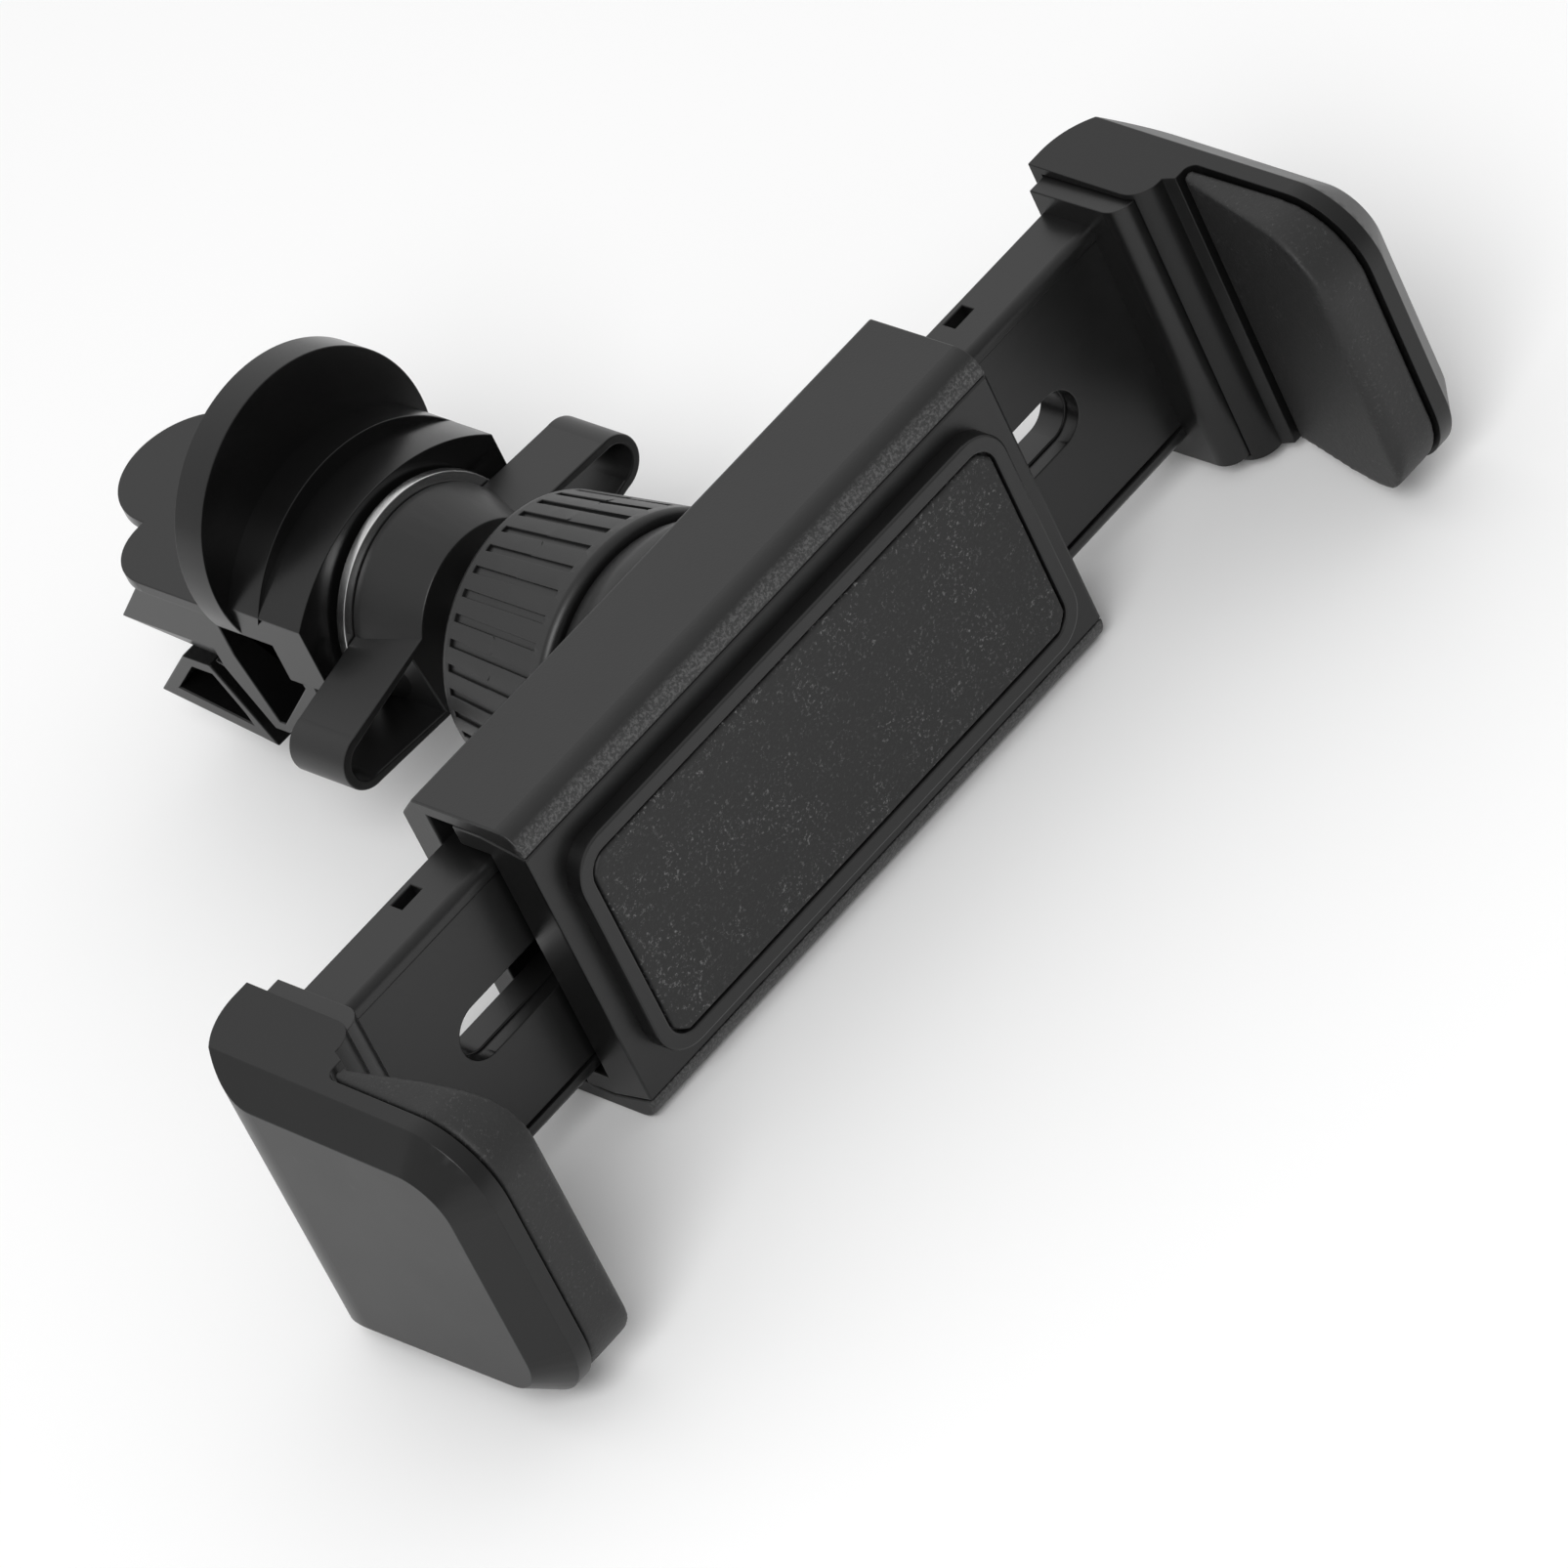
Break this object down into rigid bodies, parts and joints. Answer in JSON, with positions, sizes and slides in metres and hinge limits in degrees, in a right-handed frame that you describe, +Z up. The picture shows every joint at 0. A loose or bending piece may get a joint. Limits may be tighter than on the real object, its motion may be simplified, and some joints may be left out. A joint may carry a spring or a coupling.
{
  "type": "air vent phone mount",
  "caption": "Phone cradle with geared sliding arms and padded jaws, on a lockable ball joint behind a clip that a wing nut tightens on an air vent blade.",
  "frame": {"origin": "centre of the cradle housing's flat lower face", "axes": "+X along the arms to the right jaw, +Y rearward along the ball axis to the vent clip, +Z up"},
  "size_m": [0.121, 0.1008, 0.0392],
  "materials": {
    "shell_plastic": "fine matte",
    "cover_plastic": "fine matte",
    "arm_plastic": "satin",
    "jaw_plastic": "fine matte",
    "ring_plastic": "satin",
    "clip_plastic": "matte",
    "gear_plastic": "smooth",
    "pad_rubber": "speckled matte",
    "steel": "bright",
    "dark_steel": "satin black"
  },
  "bodies": {
    "housing": {"rear_shell": "shell_plastic", "front_cover": "cover_plastic", "front_pad": "pad_rubber", "cover_screws": "dark_steel", "detent_spring": "steel"},
    "right_slide": {"right_arm": "arm_plastic", "right_jaw_shell": "jaw_plastic", "right_jaw_pad": "pad_rubber", "right_jaw_screws": "dark_steel"},
    "left_slide": {"left_arm": "arm_plastic", "left_jaw_shell": "jaw_plastic", "left_jaw_pad": "pad_rubber", "left_jaw_screws": "dark_steel"},
    "pinion": {"pinion_gear": "gear_plastic"},
    "lock_ring_body": {"lock_ring": "ring_plastic"},
    "ball_seat": {"friction_ring": "gear_plastic"},
    "stud": {"ball_stud": "ring_plastic"},
    "clip": {"clip_body": "clip_plastic", "jaw_pin": "steel", "jaw_spring": "steel"},
    "wing": {"wing_nut": "ring_plastic", "thrust_washer": "steel"},
    "lower_clip": {"lower_jaw": "clip_plastic"}
  },
  "joints": [
    {"name": "right_arm_slide", "type": "slide", "parent": "housing", "child": "right_slide", "axis": [1, 0, 0], "range_m": [-0.017, 0]},
    {"name": "left_arm_slide", "type": "slide", "parent": "housing", "child": "left_slide", "axis": [-1, 0, 0], "range_m": [-0.017, 0]},
    {"name": "pinion_spin", "type": "hinge", "parent": "housing", "child": "pinion", "pos_m": [0, 0.0021, 0.0168], "axis": [0, 1, 0], "range_deg": [-204, 1]},
    {"name": "lock_ring_turn", "type": "hinge", "parent": "housing", "child": "lock_ring_body", "pos_m": [0, 0.0177, 0.0182], "axis": [0, 1, 0], "range_deg": [0, 180]},
    {"name": "ball_swivel", "type": "hinge", "parent": "housing", "child": "ball_seat", "pos_m": [0, 0.0177, 0.0182], "axis": [0, 1, 0], "continuous": true},
    {"name": "ball_tilt", "type": "hinge", "parent": "ball_seat", "child": "stud", "pos_m": [0, 0.0177, 0.0182], "axis": [1, 0, 0], "range_deg": [-18, 18]},
    {"name": "clip_roll", "type": "hinge", "parent": "stud", "child": "clip", "pos_m": [0, 0.045, 0.0182], "axis": [0, 1, 0], "continuous": true},
    {"name": "wing_turn", "type": "hinge", "parent": "clip", "child": "wing", "pos_m": [0, 0.0352, 0.0182], "axis": [0, 1, 0], "range_deg": [-45, 20]},
    {"name": "lower_jaw_close", "type": "hinge", "parent": "clip", "child": "lower_clip", "pos_m": [0, 0.0517, 0.011], "axis": [1, 0, 0], "range_deg": [-5.3, 2.4]}
  ],
  "couplings": [
    {"joint": "left_arm_slide", "follows": "right_arm_slide", "ratio": 1},
    {"joint": "pinion_spin", "follows": "right_arm_slide", "rad_per_m": 208.33},
    {"joint": "lower_jaw_close", "follows": "wing_turn", "ratio": 0.11667}
  ]
}
